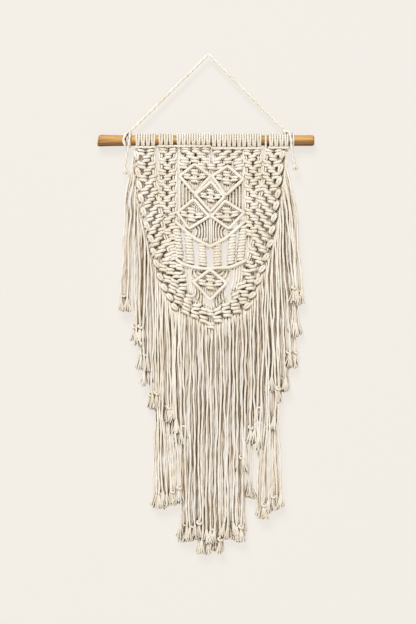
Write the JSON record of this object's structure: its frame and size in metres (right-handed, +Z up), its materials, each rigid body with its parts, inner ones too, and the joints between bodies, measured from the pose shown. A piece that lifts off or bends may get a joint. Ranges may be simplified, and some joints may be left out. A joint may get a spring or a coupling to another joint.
{
  "type": "macrame wall hanging on a wooden rod",
  "caption": "Knotted cotton cord wall hanging on a wooden rod, with diamonds in its net, a long stepped fringe and a twisted hanger cord.",
  "frame": {"origin": "top of the hanger cord, where a hook or nail holds it", "axes": "+X to the right as seen from the front, -Y to the front, +Z up; the wall is behind, at +Y"},
  "size_m": [0.4225, 0.0342, 0.9776],
  "materials": {
    "cotton_cord": "matt",
    "rod_wood": "satin"
  },
  "bodies": {
    "root": {"rod": "rod_wood", "hanger_cord": "cotton_cord", "left_tie": "cotton_cord", "right_tie": "cotton_cord", "knotted_net": "cotton_cord", "fringe_left": "cotton_cord", "fringe_right": "cotton_cord", "fringe_middle": "cotton_cord"}
  },
  "joints": []
}
